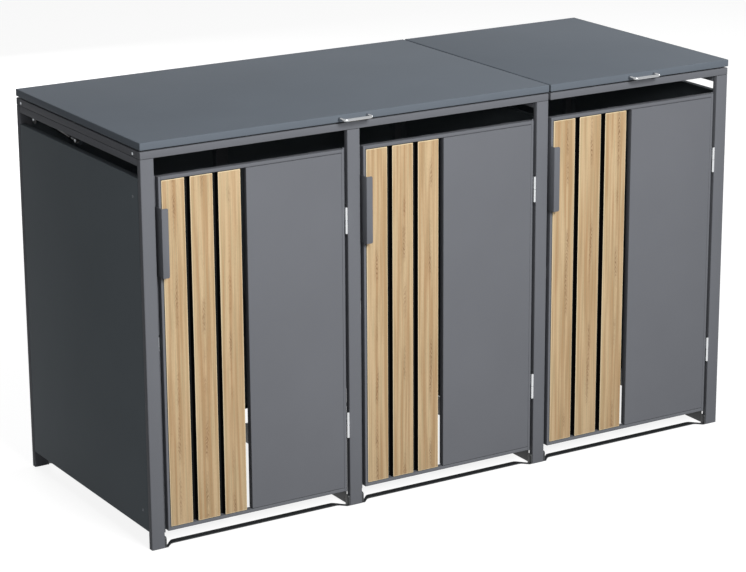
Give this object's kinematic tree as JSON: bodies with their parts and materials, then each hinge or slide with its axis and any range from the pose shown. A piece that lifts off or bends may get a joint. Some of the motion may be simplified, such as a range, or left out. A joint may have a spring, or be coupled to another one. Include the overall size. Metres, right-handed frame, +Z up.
{
  "type": "wheelie bin store",
  "caption": "Steel store for wheelie bins with hinged front doors, wood slats and lift-up lids on gas struts, in grey powder coat.",
  "frame": {"origin": "on the ground, at the middle of the footprint with handles and hinges", "axes": "+X along the store to the right as seen from the front, +Y to the back, +Z up"},
  "size_m": [2.072, 0.881, 1.213],
  "materials": {
    "frame_coat": "fine matt powder coat",
    "wall_coat": "fine matt powder coat",
    "lid_coat": "fine matt powder coat",
    "door_coat": "fine matt powder coat",
    "oak_slats": "oak grain, matt",
    "black_coat": "satin black",
    "bright_steel": "bright",
    "zinc_steel": "zinc plated",
    "black_rubber": "matt",
    "black_plastic": "matt"
  },
  "bodies": {
    "root": {"front_post_left": "frame_coat", "front_post_middle": "frame_coat", "front_post_shared": "frame_coat", "front_post_right": "frame_coat", "rear_posts": "frame_coat", "side_panel_left": "wall_coat", "side_panel_shared": "wall_coat", "side_panel_right": "wall_coat", "back_panel_left": "wall_coat", "back_panel_middle": "wall_coat", "back_panel_right": "wall_coat", "slot_rail_left": "frame_coat", "slot_rail_shared": "frame_coat", "slot_rail_right": "frame_coat", "front_rail_double": "frame_coat", "front_rail_single": "frame_coat", "rear_rail_double": "frame_coat", "rear_rail_single": "frame_coat", "side_rail_left": "frame_coat", "side_rail_double_right": "frame_coat", "side_rail_single_left": "frame_coat", "side_rail_right": "frame_coat", "floor_bars": "black_coat", "guide_rails": "black_coat", "lid_buffers": "black_rubber", "frame_fasteners": "zinc_steel", "strut_wall_brackets": "zinc_steel", "lid_hinge_frame_leaves": "frame_coat", "lid_hinge_pins": "bright_steel", "door_hinge_pintles": "bright_steel", "door_gap_strips": "frame_coat", "door_catches": "black_plastic"},
    "lid_double": {"lid_double_tray": "lid_coat", "lid_double_handle": "bright_steel", "lid_double_hinge_leaves": "lid_coat", "lid_double_strut_brackets": "lid_coat"},
    "lid_single": {"lid_single_tray": "lid_coat", "lid_single_handle": "bright_steel", "lid_single_hinge_leaves": "lid_coat", "lid_single_strut_brackets": "lid_coat"},
    "door_1": {"door_1_frame": "door_coat", "door_1_slats": "oak_slats", "door_1_slat_backs": "black_coat", "door_1_panel": "door_coat", "door_1_handle": "frame_coat", "door_1_hinge_barrels": "bright_steel"},
    "door_2": {"door_2_frame": "door_coat", "door_2_slats": "oak_slats", "door_2_slat_backs": "black_coat", "door_2_panel": "door_coat", "door_2_handle": "frame_coat", "door_2_hinge_barrels": "bright_steel"},
    "door_3": {"door_3_frame": "door_coat", "door_3_slats": "oak_slats", "door_3_slat_backs": "black_coat", "door_3_panel": "door_coat", "door_3_handle": "frame_coat", "door_3_hinge_barrels": "bright_steel"},
    "left_strut_case": {"strut_left_tube": "black_coat"},
    "left_strut_stem": {"strut_left_rod": "bright_steel"},
    "shared_strut_case": {"strut_shared_tube": "black_coat"},
    "shared_strut_stem": {"strut_shared_rod": "bright_steel"},
    "right_strut_case": {"strut_right_tube": "black_coat"},
    "right_strut_stem": {"strut_right_rod": "bright_steel"}
  },
  "joints": [
    {"name": "lid_double_hinge", "type": "hinge", "parent": "root", "child": "lid_double", "pos_m": [-0.345, 0.4355, 1.189], "axis": [-1, 0, 0], "range_deg": [0, 80]},
    {"name": "lid_single_hinge", "type": "hinge", "parent": "root", "child": "lid_single", "pos_m": [0.694, 0.4355, 1.189], "axis": [-1, 0, 0], "range_deg": [0, 80]},
    {"name": "door_1_hinge", "type": "hinge", "parent": "root", "child": "door_1", "pos_m": [-0.372, -0.403, 0.58], "axis": [0, 0, 1], "range_deg": [0, 105]},
    {"name": "door_2_hinge", "type": "hinge", "parent": "root", "child": "door_2", "pos_m": [0.297, -0.403, 0.58], "axis": [0, 0, 1], "range_deg": [0, 105]},
    {"name": "door_3_hinge", "type": "hinge", "parent": "root", "child": "door_3", "pos_m": [0.987, -0.403, 0.58], "axis": [0, 0, 1], "range_deg": [0, 105]},
    {"name": "left_strut_tilt", "type": "hinge", "parent": "root", "child": "left_strut_case", "pos_m": [-0.982, 0.3625, 1.127], "axis": [-1, 0, 0], "range_deg": [0, 85.5]},
    {"name": "left_strut_slide", "type": "slide", "parent": "left_strut_case", "child": "left_strut_stem", "axis": [0, -0.9965, -0.0834], "range_m": [0, 0.1215]},
    {"name": "shared_strut_tilt", "type": "hinge", "parent": "root", "child": "shared_strut_case", "pos_m": [0.292, 0.3625, 1.127], "axis": [-1, 0, 0], "range_deg": [0, 85.5]},
    {"name": "shared_strut_slide", "type": "slide", "parent": "shared_strut_case", "child": "shared_strut_stem", "axis": [0, -0.9965, -0.0834], "range_m": [0, 0.1215]},
    {"name": "right_strut_tilt", "type": "hinge", "parent": "root", "child": "right_strut_case", "pos_m": [0.982, 0.3625, 1.127], "axis": [-1, 0, 0], "range_deg": [0, 85.5]},
    {"name": "right_strut_slide", "type": "slide", "parent": "right_strut_case", "child": "right_strut_stem", "axis": [0, -0.9965, -0.0834], "range_m": [0, 0.1215]}
  ],
  "couplings": [
    {"joint": "left_strut_tilt", "follows": "lid_double_hinge", "ratio": 1.0611},
    {"joint": "left_strut_slide", "follows": "lid_double_hinge", "m_per_rad": 0.086335},
    {"joint": "shared_strut_tilt", "follows": "lid_double_hinge", "ratio": 1.0611},
    {"joint": "shared_strut_slide", "follows": "lid_double_hinge", "m_per_rad": 0.086335},
    {"joint": "right_strut_tilt", "follows": "lid_single_hinge", "ratio": 1.0611},
    {"joint": "right_strut_slide", "follows": "lid_single_hinge", "m_per_rad": 0.086335}
  ]
}
